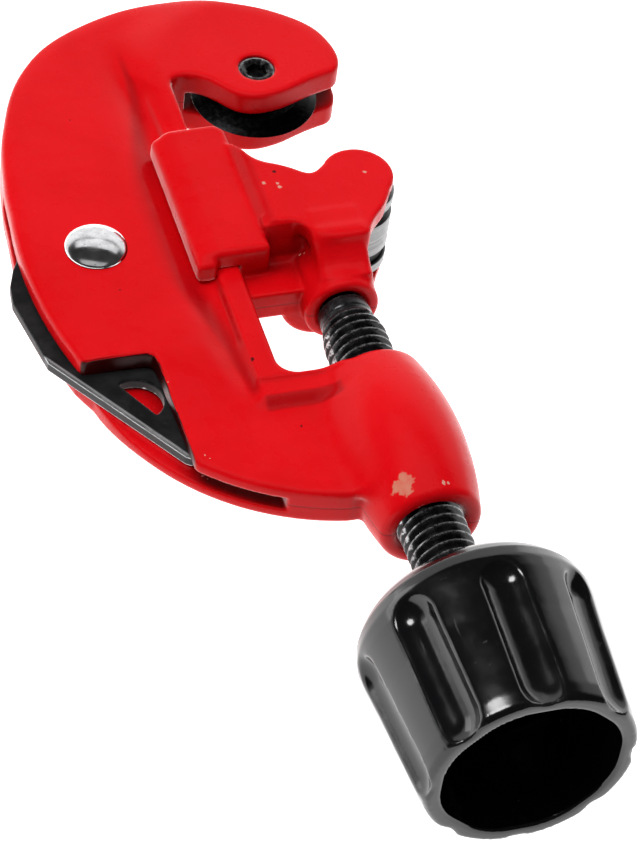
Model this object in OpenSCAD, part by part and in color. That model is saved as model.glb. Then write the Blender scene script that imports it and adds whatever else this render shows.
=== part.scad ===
// Pipe cutter: a cast C frame with a cutter wheel in its nose, a two roller
// carriage that slides on the frame's inner rail, a feed screw with a fluted
// knob, and a folding reamer blade in the back of the frame.
// Frame: origin on the axis of a 15 mm tube touching the wheel, halfway
// through the thickness. +Z along the tube, +Y from the knob to the nose,
// the spine of the C on the -X side.

/* [Part shown] */
// sub-part to draw, or all of them

/* [C frame] */
// half thickness of the rail and of the ribs, mm
rail_half = 4.67; // [4.3:0.05:4.9]
// half thickness of the spine face, mm
spine_half = 4.5; // [4.2:0.05:4.6]
// half thickness of the lower web, mm
web_half = 3.2; // [3:0.05:3.3]
// half thickness of the nose round the wheel, mm
nose_half = 5.8; // [5.6:0.1:6.4]
// inner face of the rail, distance from the screw axis, mm
rail_x = 14; // [13.9:0.05:14.1]
// width of the rail, mm
rail_w = 3.5; // [3.2:0.1:3.6]
// half width of the reamer slot, mm
slot_half = 1.15; // [1.05:0.05:1.3]
// half width of the wheel slot, mm
wheel_slot_half = 1.8; // [1.78:0.02:2]
// greatest radius of the screw boss, mm
boss_r = 9.26; // [8.8:0.1:9.6]
// lower end of the screw boss, mm below the origin
boss_end = 74; // [72:0.5:75.5]

/* [Cutting wheel] */
// radius of the cutting edge, mm
wheel_r = 9.75; // [9.5:0.05:9.8]
// half width of the wheel at its hub, mm
wheel_hub_half = 1.72; // [1.6:0.02:1.72]
// radius of the wheel screw's shank, mm
wheel_pin_r = 2.2; // [2:0.05:2.3]

/* [Carriage] */
// outer face of the two ears, mm from the middle
ear_out = 9.5; // [9.3:0.1:9.9]
// inner face of the two ears, mm from the middle
ear_in = 7.4; // [7.35:0.05:7.5]
// outer face of the two rail arms, mm from the middle
arm_out = 7.8; // [7.4:0.1:8.2]
// running clearance on the rail's side faces, mm
rail_clear = 0.08; // [0.05:0.01:0.1]
// radius of the carriage's screw boss, mm
swivel_boss_r = 5.6; // [5.4:0.1:5.8]

/* [Rollers] */
// radius of a roller, mm
roller_r = 5.9; // [5.7:0.05:6]
// distance of a roller's axis from the screw axis, mm
roller_x = 6.95; // [6.8:0.05:7.1]
// roller axis below the origin, mm
roller_y = 12.2; // [12:0.1:12.4]
// radius of a roller pin, mm
pin_r = 1.9; // [1.7:0.05:2]

/* [Feed screw and knob] */
// outside diameter of the feed screw's thread, mm
screw_d = 9.525; // [9.5:0.025:9.55]
// pitch of the feed screw's thread, mm
pitch = 1.5875; // [1.5:0.0125:1.6]
// radius of the screw's journal in the carriage, mm
journal_r = 3.2; // [3:0.05:3.3]
// greatest radius of the knob, mm
knob_r = 16.9; // [16:0.1:17.5]
// number of finger flutes round the knob
flutes = 8; // [7:1:9]

/* [Reamer] */
// thickness of the reamer blade, mm
blade_t = 1.7; // [1.4:0.1:1.8]
// radius of the rivet's shank, mm
rivet_r = 2.4; // [2.2:0.05:2.5]
// radius of the rivet's domed heads, mm
rivet_head_r = 4.6; // [4.3:0.05:4.8]

/* [Hidden] */
$fn = 96;
red = [0.86, 0.09, 0.11];
black = [0.06, 0.06, 0.065];
steel = [0.56, 0.57, 0.58];
wheel_dark = [0.16, 0.16, 0.17];
rivet_bright = [0.8, 0.8, 0.82];

run = 0.05;                       // running clearance
tube_r = 7.5;
wheel_y = tube_r + wheel_r;       // wheel axis: its edge touches the tube
head_seat = 3.6;                  // underside of the wheel screw's head, Z
head_r = 2.76;                    // wheel screw's head
rivet_p = [-33.7, -15.5];         // reamer pivot
rail_back = -rail_x - rail_w;     // the rail's face towards the spine
arm_bottom = -45.2;               // inner edge of the lower arm
corner_r = 3;                     // where the rail meets the lower arm
pin_end = ear_out - 0.8;          // blind end of the roller pins, Z
swivel_bottom = -30.9;            // lower end of the carriage's screw boss
groove_top = -21.6;               // clip groove in the screw's journal
screw_r = screw_d / 2;
root_r = screw_r - 0.6134 * pitch;
knob_top = -85.9;
knob_rim = -117.1;

// ---- Helpers ----

// points on a circular arc between two angles
function arc(centre, radius, from, to, steps) = [for (i = [0:steps])
    let (angle = from + (to - from) * i / steps)
    centre + radius * [cos(angle), sin(angle)]];

// the points in reverse order, on the other side of the second axis' zero
function reflected(points) =
    [for (i = [len(points) - 1:-1:0]) [points[i][0], -points[i][1]]];
function symmetric(points) = concat(points, reflected(points));

// box given by its [from, to] along each axis
module block(x, y, z) {
    translate([x[0], y[0], z[0]]) cube([x[1] - x[0], y[1] - y[0], z[1] - z[0]]);
}

// 2D children extruded to both sides of their plane
module slab(half) {
    linear_extrude(height = 2 * half, center = true) children();
}

// children on the +Z side, and their mirror image on the -Z side
module both_faces() {
    for (side = [0, 1]) mirror([0, 0, side]) children();
}

// turn the children's Z axis to +Y or to -Y, and start them at y
module up_from(y = 0) {
    translate([0, y, 0]) rotate([-90, 0, 0]) children();
}
module down_from(y) {
    translate([0, y, 0]) rotate([90, 0, 0]) children();
}

// ---- C frame ----

// shoulder and top of the nose, [x, y]
nose_top = [
    [-43.9, -1], [-42.9, 5.5], [-41.9, 10.1], [-40.5, 14.2], [-39, 18.4],
    [-37.1, 22.3], [-34.9, 25.4], [-32.4, 28.3], [-29.3, 30.8], [-25.7, 32.8],
    [-21.5, 34.6], [-17.1, 36], [-12.2, 36.7], [-7.3, 36.2], [-3.3, 35.1],
    [0.5, 33.4], [4.2, 31.8], [7.4, 29.7], [10.1, 27.4], [12.1, 24.9],
    [13, 22], [13.4, 19.4], [13.3, 16.8]];
// lower edge of the nose and the throat, as far as the rail, [x, y]
nose_bottom = [
    [12.2, 14.6], [9.8, 14], [7.6, 13.3], [5.4, 12.4], [3.2, 11.5],
    [1, 11], [-0.8, 10.8], [-2.5, 11], [-4.3, 11.7], [-5.8, 13.2],
    [-7.2, 15], [-8.4, 16.2], [-9.7, 17.1], [-11.4, 17.7], [-12.8, 17.6],
    [-13.7, 17.0], [-rail_x, 15.9]];
// discs stacked in the nose:
// [radius, step in from the nose face, facets, top of the cut towards the spine, y]
nose_layers = [[16.2, 0, 96, 16.6], [17.8, 0.5, 128, 16.6], [23, 1, 128, 17]];
// reamer slot, open towards -X, [x, y]
reamer_slot = [
    [-38.2, -0.4], [-52, 2.2], [-60, -16], [-60, -80], [-18.6, -80],
    [-18.6, -14], [-20, -8], [-24, -3.6], [-30, -1], [-34, -0.4]];
// notch that bares the reamer, [x, y]
reamer_notch = [
    [-60, -37.4], [-42.5, -37.4], [-37.1, -37.5], [-33.2, -37.7], [-31.6, -38.2],
    [-30.8, -39.2], [-30.5, -41], [-30.1, -52], [-29.9, -59.4], [-30, -66], [-60, -66]];

// rounded inner corner between the rail and the lower arm
function inner_corner(from, to) =
    arc([-rail_x, arm_bottom] + [corner_r, corner_r], corner_r, from, to, 8);

module c_plate(half) {
    slab(half) polygon(concat(
        // lower edge, from the boss round to the spine
        arc([-4.65, -32.7], 35.87, -99, -168.5, 24),
        // back of the spine
        arc([27, -14.9], 71.8, 197.2, 173, 14),
        nose_top,
        nose_bottom,
        // rail face, inner corner and lower arm
        [[-rail_x, arm_bottom + corner_r]],
        inner_corner(185, 265),
        [[-rail_x + corner_r, arm_bottom], [-5, arm_bottom], [-5, -67.7]]));
}

// section across the spine, [x, z]: rounded back edge, flat face, valley, rail
module spine_section() {
    face = spine_half;
    valley = 3.25;
    polygon(symmetric([
        [-45.6, 1.9], [-45.1, 2.9], [-44.3, 3.7], [-43.2, 4.2], [-41.8, face - 0.06],
        [-40, face], [-27.5, face], [-25, face - 0.2], [-23.4, face - 0.65],
        [-22.2, valley + 0.25], [-21.3, valley], [rail_back - 0.05, valley],
        [rail_back, valley + 0.3], [rail_back + 0.1, rail_half - 0.35],
        [rail_back + 0.45, rail_half], [-rail_x - 0.35, rail_half],
        [-rail_x + 0.02, rail_half - 0.35]]));
}

// thickness along the spine, [y, z]: thinner towards the lower arm
module side_section() {
    polygon(symmetric([
        [40, rail_half + 1], [-33, rail_half + 1], [-36, rail_half], [-40, 4.3],
        [-45, 3.75], [-50, 3.35], [-56, web_half - 0.1]]));
}

module spine() {
    reach = 100;    // past the frame on both sides
    intersection() {
        c_plate(rail_half);
        rotate([90, 0, 0]) slab(reach) spine_section();
        rotate([90, 0, 90]) slab(reach) side_section();
        block(x = [-60, -rail_x + 0.01], y = [-80, 17], z = [-10, 10]);
    }
}

// raised rib round the inner corner, from the rail along the lower arm
module rib_layer(half, width) {
    arm_end = -6.5;
    outer_r = 5;
    outer_y = arm_bottom - width;
    slab(half) polygon(concat(
        [[-rail_x, -20], [rail_back, -20], [rail_back, arm_bottom + 4]],
        arc([rail_back + outer_r, outer_y + outer_r], outer_r, 175, 262, 8),
        [[arm_end, outer_y], [arm_end, arm_bottom], [-rail_x + corner_r, arm_bottom]],
        inner_corner(265, 185)));
}

module rib() {
    rib_layer(half = 4.25, width = 3.4);
    rib_layer(half = 3.75, width = 4.2);
    // lower end of the rail
    block(x = [rail_back, -rail_x], y = [arm_bottom - 0.6, arm_bottom + 11.4],
          z = [-rail_half, rail_half]);
}

// raised nose: stepped discs on the wheel's axis, within the C
module nose() {
    intersection() {
        c_plate(nose_half);
        for (layer = nose_layers) {
            half = nose_half - layer[1];
            difference() {
                translate([0, wheel_y, -half])
                    cylinder(r = layer[0], h = 2 * half, $fn = layer[2]);
                block(x = [-30, -12], y = [-10, layer[3]], z = [-10, 10]);
            }
        }
    }
}

// barrel on the screw axis
module boss() {
    widest_y = -59.5;
    steps = 16;
    barrel_bottom = -boss_end + 0.9;
    barrel_top = arm_bottom - 0.8;
    // the barrel narrows a little faster above its widest point
    function barrel_r(y) =
        boss_r - (y < widest_y ? 0.0098 : 0.0112) * pow(y - widest_y, 2);
    up_from() rotate_extrude() polygon(concat(
        [[0, -boss_end], [6.0, -boss_end], [6.75, -boss_end + 0.3]],
        [for (i = [0:steps])
            let (y = barrel_bottom + (barrel_top - barrel_bottom) * i / steps)
            [barrel_r(y), y]],
        [[6.7, arm_bottom - 0.2], [6.1, arm_bottom], [0, arm_bottom]]));
}

module body_frame() color(red) difference() {
    bore_r = screw_r + 0.06;
    lead_in = 0.9;
    wheel_room_r = 11;
    union() {
        c_plate(web_half);
        spine();
        rib();
        nose();
        boss();
    }
    // feed screw bore and the lead-in at its lower mouth
    down_from(arm_bottom + 2) cylinder(r = bore_r, h = 40);
    down_from(-boss_end + 0.6) cylinder(r1 = bore_r, r2 = bore_r + lead_in, h = lead_in);
    // wheel slot
    slab(wheel_slot_half) union() {
        translate([0, wheel_y]) circle(r = wheel_room_r);
        translate([-wheel_room_r, 0]) square([30, wheel_y + 1.5]);
    }
    // wheel screw: hole right through, and a recess for the head on the +Z side
    translate([0, wheel_y, 0]) cylinder(r = wheel_pin_r, h = 20, center = true);
    translate([0, wheel_y, head_seat]) cylinder(r = head_r + run, h = 10);
    slab(slot_half) polygon(reamer_slot);
    // the notch opens the slot's wall on the +Z side only
    translate([0, 0, slot_half - 0.01]) linear_extrude(height = 12) polygon(reamer_notch);
    // rivet hole
    translate(rivet_p) cylinder(r = rivet_r + run, h = 20, center = true);
}

// ---- Cutting wheel ----

module cutter_wheel() color(wheel_dark) translate([0, wheel_y, 0]) {
    // [radius, z] from the bore to the cutting edge
    half_profile = [
        [wheel_pin_r + run, wheel_hub_half], [4.3, wheel_hub_half], [4.5, 1.3],
        [6.9, 1.15], [wheel_r - 0.02, 0.04]];
    rotate_extrude() polygon(concat(half_profile, [[wheel_r, 0]], reflected(half_profile)));
}

// screw the wheel turns on, with a hexagon socket in its head
module wheel_screw() color(black) translate([0, wheel_y, 0]) difference() {
    head_h = 1.5;
    tip_chamfer = 0.3;
    union() {
        translate([0, 0, -nose_half + tip_chamfer])
            cylinder(r = wheel_pin_r, h = nose_half + head_seat);
        translate([0, 0, head_seat]) cylinder(r = head_r, h = head_h);
        translate([0, 0, head_seat + head_h]) cylinder(r1 = head_r, r2 = 2.4, h = 0.35);
        translate([0, 0, -nose_half])
            cylinder(r1 = wheel_pin_r - tip_chamfer, r2 = wheel_pin_r, h = tip_chamfer);
    }
    translate([0, 0, head_seat + 0.1]) cylinder(r = 1.45, h = 4, $fn = 6);
}

// ---- Carriage ----

ear_left = -9.6;                  // edge of the ears towards the rail
wall_right = 5.0;                 // right edge of the wall under the rollers
wall_top = -18.1;
wall_half = ear_out - 0.6;
foot_half = 2.4;                  // half thickness of the foot
foot_y = [-27.8, -19.8];
channel_y = [-23.4, 3.9];         // lower and upper end of the rail channel
channel_left = -20.7;
channel_right = -9.4;
channel_face = -rail_x + 0.07;    // face that runs on the rail's inner face

// one ear with its two lobes, [x, y]
module ear() {
    polygon(concat(
        [[ear_left, -19.6], [ear_left, -3.6], [-8.8, -4.6], [-7.9, -5.8], [-6.4, -6.9],
         [-4.2, -7.9], [-2.6, -8.9], [-1.4, -9.8], [-0.3, -10.4], [0.6, -10.4],
         [1.5, -9.95], [2.3, -9.3]],
        arc([roller_x, -roller_y], 5.35, 138, -34, 20),
        [[10.6, -16.6], [9.7, -18.1], [8.8, -19.4], [7.0, -21.1], [5.7, -23.0],
         [5.0, -24.4], [3.4, -24.5], [-0.6, -24.4], [-2.3, -23.6], [-3.4, -22.1],
         [-4.3, -20.6], [-5.4, -19.9]]));
}

// boss for the screw's journal, and its shoulder sloping up to the ears
module swivel() {
    chamfer_h = 0.5;
    shoulder_z = ear_out - 0.3;
    up_from(swivel_bottom + chamfer_h) cylinder(r = swivel_boss_r, h = 9);
    up_from(swivel_bottom)
        cylinder(r1 = swivel_boss_r - 0.8, r2 = swivel_boss_r, h = chamfer_h);
    // [y, z]
    rotate([90, 0, 90]) translate([0, 0, -3.0]) linear_extrude(height = 7.8)
        polygon(symmetric([
            [-23, shoulder_z], [-24.5, shoulder_z], [-25.4, 8.1], [-26.6, 7.0], [-28.2, 5.5]]));
}

// channel round the rail: web, two arms and their lips behind the rail
module rail_channel() {
    arm_in = rail_half + rail_clear;
    lip_in = 3.4;
    block(x = [channel_face, channel_right], y = channel_y, z = [-arm_out, arm_out]);
    both_faces() {
        block(x = [channel_left, -12.7], y = channel_y, z = [arm_in, arm_out]);
        block(x = [channel_left, -17.6], y = [-24.9, 3.5], z = [lip_in, arm_out]);
    }
}

module carriage() color(red) difference() {
    tip_room = 3.95;
    union() {
        both_faces() translate([0, 0, ear_in])
            linear_extrude(height = ear_out - ear_in) ear();
        // wall under the rollers, deeper in the middle
        block(x = [ear_left, wall_right], y = [-20.9, wall_top], z = [-wall_half, wall_half]);
        block(x = [-3.2, wall_right], y = [-24.0, wall_top], z = [-wall_half, wall_half]);
        swivel();
        rail_channel();
        // foot between the boss and the rail, and its bearing end
        block(x = [-13.5, -5], y = foot_y, z = [-foot_half, foot_half]);
        block(x = [channel_face, channel_face + 2], y = foot_y, z = [-foot_half, foot_half]);
    }
    // room for the rollers and the screw's tip
    block(x = [ear_left, 30.4], y = [-roller_y - 6.1, -roller_y + 23.9],
          z = [-ear_in, ear_in]);
    block(x = [-tip_room, tip_room], y = [-22.6, -14.6], z = [-tip_room, tip_room]);
    // pockets between the foot and the boss
    both_faces() block(x = [-5.4, -3.5], y = [-26.2, -21.6], z = [2.5, 14.5]);
    for (side = [-1, 1]) {
        // pocket round the roller
        translate([side * roller_x, -roller_y, -ear_in])
            cylinder(r = roller_r + 0.2, h = 2 * ear_in);
        // pin hole: through the -Z ear, blind in the +Z one
        translate([side * roller_x, -roller_y, -12]) cylinder(r = pin_r, h = 12 + pin_end);
    }
    // journal bore
    up_from(-40) cylinder(r = journal_r + run, h = 22);
    // slanted upper corners of the channel, [x, side of the cutting square]
    both_faces() for (corner = [[channel_left, 2.2], [channel_right, 1.6]])
        translate([corner[0], channel_y[1], 6.2]) rotate([0, 0, 45])
            cube([corner[1], corner[1], 6], center = true);
}

// ---- Rollers ----

// three bands with two grooves between them, [radius, z]
module roller() color(steel) translate([0, -roller_y, 0]) rotate_extrude() {
    groove_r = roller_r - 0.6;
    polygon(symmetric([
        [pin_r + run, 7.35], [roller_r - 0.7, 7.35], [roller_r, 6.8], [roller_r, 5.2],
        [groove_r, 4.9], [groove_r, 3.3], [roller_r, 3]]));
}

module roller_left() translate([-roller_x, 0, 0]) roller();
module roller_right() translate([roller_x, 0, 0]) roller();

// pin with a chamfer at its -Z end
module roller_pin() color(steel) translate([0, -roller_y, 0]) {
    chamfer = 0.25;
    translate([0, 0, -ear_out + chamfer]) cylinder(r = pin_r, h = ear_out - chamfer + pin_end);
    translate([0, 0, -ear_out]) cylinder(r1 = pin_r - chamfer, r2 = pin_r, h = chamfer);
}

module roller_pin_left() translate([-roller_x, 0, 0]) roller_pin();
module roller_pin_right() translate([roller_x, 0, 0]) roller_pin();

// ---- Feed screw and knob ----

// journal with clip groove, smooth collar, and thread drawn as separate ridges
module feed_screw() {
    tip = -20.4;
    groove_r = journal_r - 0.7;
    groove_bottom = groove_top - 0.9;
    collar_r = 3.95;
    collar_top = swivel_bottom - run;
    first_ridge = -34.2;
    last = floor((first_ridge - (knob_top - 9.6)) / pitch);
    screw_end = first_ridge - (last + 0.5) * pitch - 1;
    // one ridge and the root below it, [radius, pitches above the ridge's middle]
    ridge = [[screw_r, 0.07], [screw_r, -0.07], [root_r, -0.5]];
    // [radius, y]
    color(black) up_from() rotate_extrude() polygon(concat(
        [[0, tip], [journal_r - 0.4, tip], [journal_r, tip - 0.4],
         [journal_r, groove_top], [groove_r, groove_top],
         [groove_r, groove_bottom], [journal_r, groove_bottom],
         [journal_r, collar_top], [collar_r, collar_top], [collar_r, -32.3],
         [root_r + 0.1, -33.3], [root_r, first_ridge + pitch / 2]],
        [for (i = [0:last], point = ridge) [point[0], first_ridge + (point[1] - i) * pitch]],
        [[root_r, screw_end], [0, screw_end]]));
}

// split ring in the journal's groove that keeps the screw in the carriage
module screw_retaining_clip() color(steel) down_from(groove_top - 0.05) difference() {
    gap = 2.2;
    cylinder(r = 3.75, h = 0.8);
    translate([0, 0, -1]) cylinder(r = journal_r - 0.66, h = 3);
    translate([-gap / 2, -6, -1]) cube([gap, 6, 3]);
}

// outside of the knob from its top to its rim, [radius, y]
knob_outside = [
    [0, knob_top], [4.9, knob_top], [5.9, -86.0], [6.9, -86.25], [7.9, -86.5],
    [8.9, -86.8], [9.95, -87.15], [10.95, -87.5], [11.95, -87.95], [12.95, -88.5],
    [13.95, -89.1], [14.95, -89.9], [15.8, -90.8], [16.6, -92.1], [knob_r, -93.8],
    [16.75, -95.6], [16.45, -98.5], [16.15, -102], [15.85, -106], [15.5, -110.5],
    [15.15, -114.5], [14.75, -116.6], [14.3, knob_rim]];
// hollow of the knob from the rim to the hub on its axis, [radius, y]
knob_inside = [
    [12.9, knob_rim], [12.4, knob_rim + 0.5], [12.2, -106], [12, -95.5], [11.3, -92.6],
    [10, -91.4], [7.6, -91.2], [7.2, -91.6], [7.0, -98.6], [6.4, -99], [4.4, -99],
    [4.0, -98.6], [4.0, -96.6], [0, -96.6]];

module knob() color(black) difference() {
    flute_r = 4.0;
    up_from() rotate_extrude($fn = 128) polygon(concat(knob_outside, knob_inside));
    // socket the screw is fixed in
    down_from(knob_top + 1) cylinder(r = screw_r - 0.02, h = 11.7);
    // flutes with domed upper ends, leaning inwards with the knob's taper
    for (i = [0:flutes - 1])
        rotate([0, i * 360 / flutes, 0]) translate([0, -98, 18.9]) rotate([95, 0, 0]) {
            cylinder(r = flute_r, h = 30, $fn = 64);
            sphere(r = flute_r, $fn = 64);
        }
}

// ---- Reamer ----

// edge of the blade below its round pivot end, [x, y]
blade_outline = [
    [-40.6, -7.6], [-42.6, -9.2], [-44.2, -11.6], [-45.7, -14.3], [-46.8, -17.3],
    [-47.2, -20.7], [-45.0, -33.5], [-30.4, -54.8], [-29.6, -55.4], [-28.7, -55.0],
    [-28.0, -50], [-27.2, -40], [-26.6, -28], [-26.2, -19]];

// folding reamer: flat blade with a finger hole
module reamer_blade() color(black) difference() {
    translate([0, 0, -blade_t / 2]) linear_extrude(height = blade_t) difference() {
        union() {
            polygon(blade_outline);
            translate(rivet_p) circle(r = 8.6);
        }
        // finger hole: disc segment with its flat side along the slanted edge
        intersection() {
            translate([-34.4, -43.0]) circle(r = 3.9);
            translate([-36.1, -39.7]) rotate(-60) translate([-3, 0]) square([14, 8]);
        }
    }
    translate(rivet_p) cylinder(r = rivet_r + run, h = 10, center = true);
}

// solid rivet with two domed heads
module reamer_rivet() color(rivet_bright) translate(rivet_p) {
    head_h = 1.75;
    dome_r = (pow(rivet_head_r, 2) + pow(head_h, 2)) / (2 * head_h);
    cylinder(r = rivet_r, h = 2 * spine_half, center = true);
    both_faces() intersection() {
        translate([0, 0, spine_half + head_h - dome_r]) sphere(r = dome_r);
        translate([0, 0, spine_half]) cylinder(r = rivet_head_r, h = 5);
    }
}

body_frame();
cutter_wheel();
wheel_screw();
carriage();
roller_left();
roller_right();
roller_pin_left();
roller_pin_right();
feed_screw();
screw_retaining_clip();
knob();
reamer_blade();
reamer_rivet();
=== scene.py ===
"""Tube cutter with a folding reamer, lying flat.

The C-shaped frame lies in the XY plane, centred on z = 0, with its spine on the -X side and
its mouth open to +X. The feed screw runs along the Y axis: the knob is at the -Y end, the
roller carriage in the middle and the cutter wheel at the +Y end. The wheel, the rollers and
the reamer turn about axes parallel to Z. Shapes are given in millimetres; the scene, the
lights and the materials' positions are in metres.
"""
import math
from contextlib import contextmanager

import bmesh
import bpy
import numpy as np
from mathutils import Matrix, Vector


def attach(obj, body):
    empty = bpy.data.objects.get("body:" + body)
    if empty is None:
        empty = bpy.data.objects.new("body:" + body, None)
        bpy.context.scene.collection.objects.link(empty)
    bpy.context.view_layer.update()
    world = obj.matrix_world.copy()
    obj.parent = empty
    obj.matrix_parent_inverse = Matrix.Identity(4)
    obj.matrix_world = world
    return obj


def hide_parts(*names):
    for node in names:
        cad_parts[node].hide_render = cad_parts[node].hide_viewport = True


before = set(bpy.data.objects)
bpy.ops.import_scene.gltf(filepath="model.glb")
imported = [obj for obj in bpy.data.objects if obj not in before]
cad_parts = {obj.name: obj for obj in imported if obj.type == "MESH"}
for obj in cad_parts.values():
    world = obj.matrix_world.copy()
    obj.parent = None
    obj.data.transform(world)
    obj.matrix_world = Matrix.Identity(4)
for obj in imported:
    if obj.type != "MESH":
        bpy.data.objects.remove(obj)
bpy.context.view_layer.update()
MM = 0.001

# ---------------------------------------------------------------- driving sizes (mm)
WHEEL_Y = 17.25                    # wheel axis
PIVOT_X, PIVOT_Y = -33.7, -15.5    # reamer pivot
PIVOT_HOLE_R = 2.47
ROLLER_X, ROLLER_Y = 6.95, -12.2   # roller axes, at +X and -X
RAIL_X = -14.0                     # +X edge of the rail
RAIL_BACK = -17.5                  # -X edge of the rail
ARM_Y = -45.2                      # +Y edge of the lower arm
ARM_FILLET = 3                     # between rail and arm
BOSS_END = -74.0                   # -Y end of the screw boss
BORE_TOP = ARM_Y + 3               # +Y limit of the cut for the screw
SCREW_R, PITCH = 4.7625, 1.5875
KNOB_TOP, KNOB_RIM = -85.9, -117.1  # Y of the knob's closed end and open rim


# ---------------------------------------------------------------- distance fields (< 0 inside)
def length(a, b):
    return np.sqrt(a * a + b * b)


def join(a, b, soften):
    """Union with a soft seam."""
    h = np.clip(0.5 + 0.5 * (b - a) / soften, 0, 1)
    return b + (a - b) * h - soften * h * (1 - h)


def meet(a, b, soften):
    """Intersection with a softened edge."""
    return -join(-a, -b, soften)


def cut(solid, tool, soften):
    return meet(solid, -tool, soften)


def prism(a, b, radius):
    """Intersection of two fields with a rounded edge."""
    corner = length(np.maximum(a + radius, 0), np.maximum(b + radius, 0))
    return np.minimum(np.maximum(a + radius, b + radius), 0) + corner - radius


def slab(value, middle, half):
    return np.abs(value - middle) - half


def fade(start, end, value):
    """Smooth step from 0 at start to 1 at end."""
    t = np.clip((value - start) / (end - start), 0, 1)
    return t * t * (3 - 2 * t)


def box(x, y, z, low, high, radius):
    a, b, c = (slab(v, (lo + hi) / 2, (hi - lo) / 2) + radius
               for v, lo, hi in zip((x, y, z), low, high))
    inside = np.minimum(np.maximum(np.maximum(a, b), c), 0)
    outside = np.sqrt(np.maximum(a, 0) ** 2 + np.maximum(b, 0) ** 2 + np.maximum(c, 0) ** 2)
    return inside + outside - radius


def polygon(points):
    """Field of a closed outline, as a function of two coordinates."""
    points = np.array(points, float)

    def field(x, y):
        x, y = np.broadcast_arrays(x, y)
        nearest = np.full(x.shape, 1e18)
        odd = np.zeros(x.shape, bool)
        for i in range(len(points)):
            ax, ay = points[i]
            bx, by = points[(i + 1) % len(points)]
            ex, ey = bx - ax, by - ay
            square = ex * ex + ey * ey
            if square < 1e-12:
                continue
            wx, wy = x - ax, y - ay
            t = np.clip((wx * ex + wy * ey) / square, 0, 1)
            dx, dy = wx - ex * t, wy - ey * t
            np.minimum(nearest, dx * dx + dy * dy, out=nearest)
            if ay != by:
                odd ^= ((ay > y) != (by > y)) & (x < ex * (y - ay) / ey + ax)
        nearest = np.sqrt(nearest)
        return np.where(odd, -nearest, nearest)
    return field


# ---------------------------------------------------------------- outlines
def arc(centre, radius, start, end, steps):
    """Points on an arc between two angles in degrees."""
    angles = [math.radians(start + (end - start) * i / steps) for i in range(steps + 1)]
    return [(centre[0] + radius * math.cos(a), centre[1] + radius * math.sin(a)) for a in angles]


def chaikin(points, rounds=2, closed=True):
    """Outline smoothed by cutting its corners; an open one keeps its ends."""
    points = np.array(points, float)
    for _ in range(rounds):
        after = np.roll(points, -1, 0) if closed else points[1:]
        here = points if closed else points[:-1]
        a, b = 0.75 * here + 0.25 * after, 0.25 * here + 0.75 * after
        mixed = np.empty((2 * len(a), 2))
        mixed[0::2], mixed[1::2] = a, b
        points = mixed if closed else np.vstack([points[:1], mixed, points[-1:]])
    return points


def bevelled(points, radii, steps=4):
    """Closed profile with rounded corners: one radius, or one per point."""
    points = [np.array(q, float) for q in points]
    out = []
    for i, corner in enumerate(points):
        radius = radii[i] if isinstance(radii, (list, tuple)) else radii
        if radius <= 0:
            out.append(corner)
            continue
        a, b = points[i - 1] - corner, points[(i + 1) % len(points)] - corner
        len_a, len_b = np.linalg.norm(a), np.linalg.norm(b)
        a, b = a / len_a, b / len_b
        angle = math.acos(max(-1, min(1, float(a @ b))))
        if angle > math.pi - 0.02:
            out.append(corner)
            continue
        reach = min(radius / math.tan(angle / 2), 0.45 * len_a, 0.45 * len_b)
        start, end = corner + a * reach, corner + b * reach
        for k in range(steps + 1):
            s = k / steps
            out.append((1 - s) ** 2 * start + 2 * s * (1 - s) * corner + s * s * end)
    return np.array(out)


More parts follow.
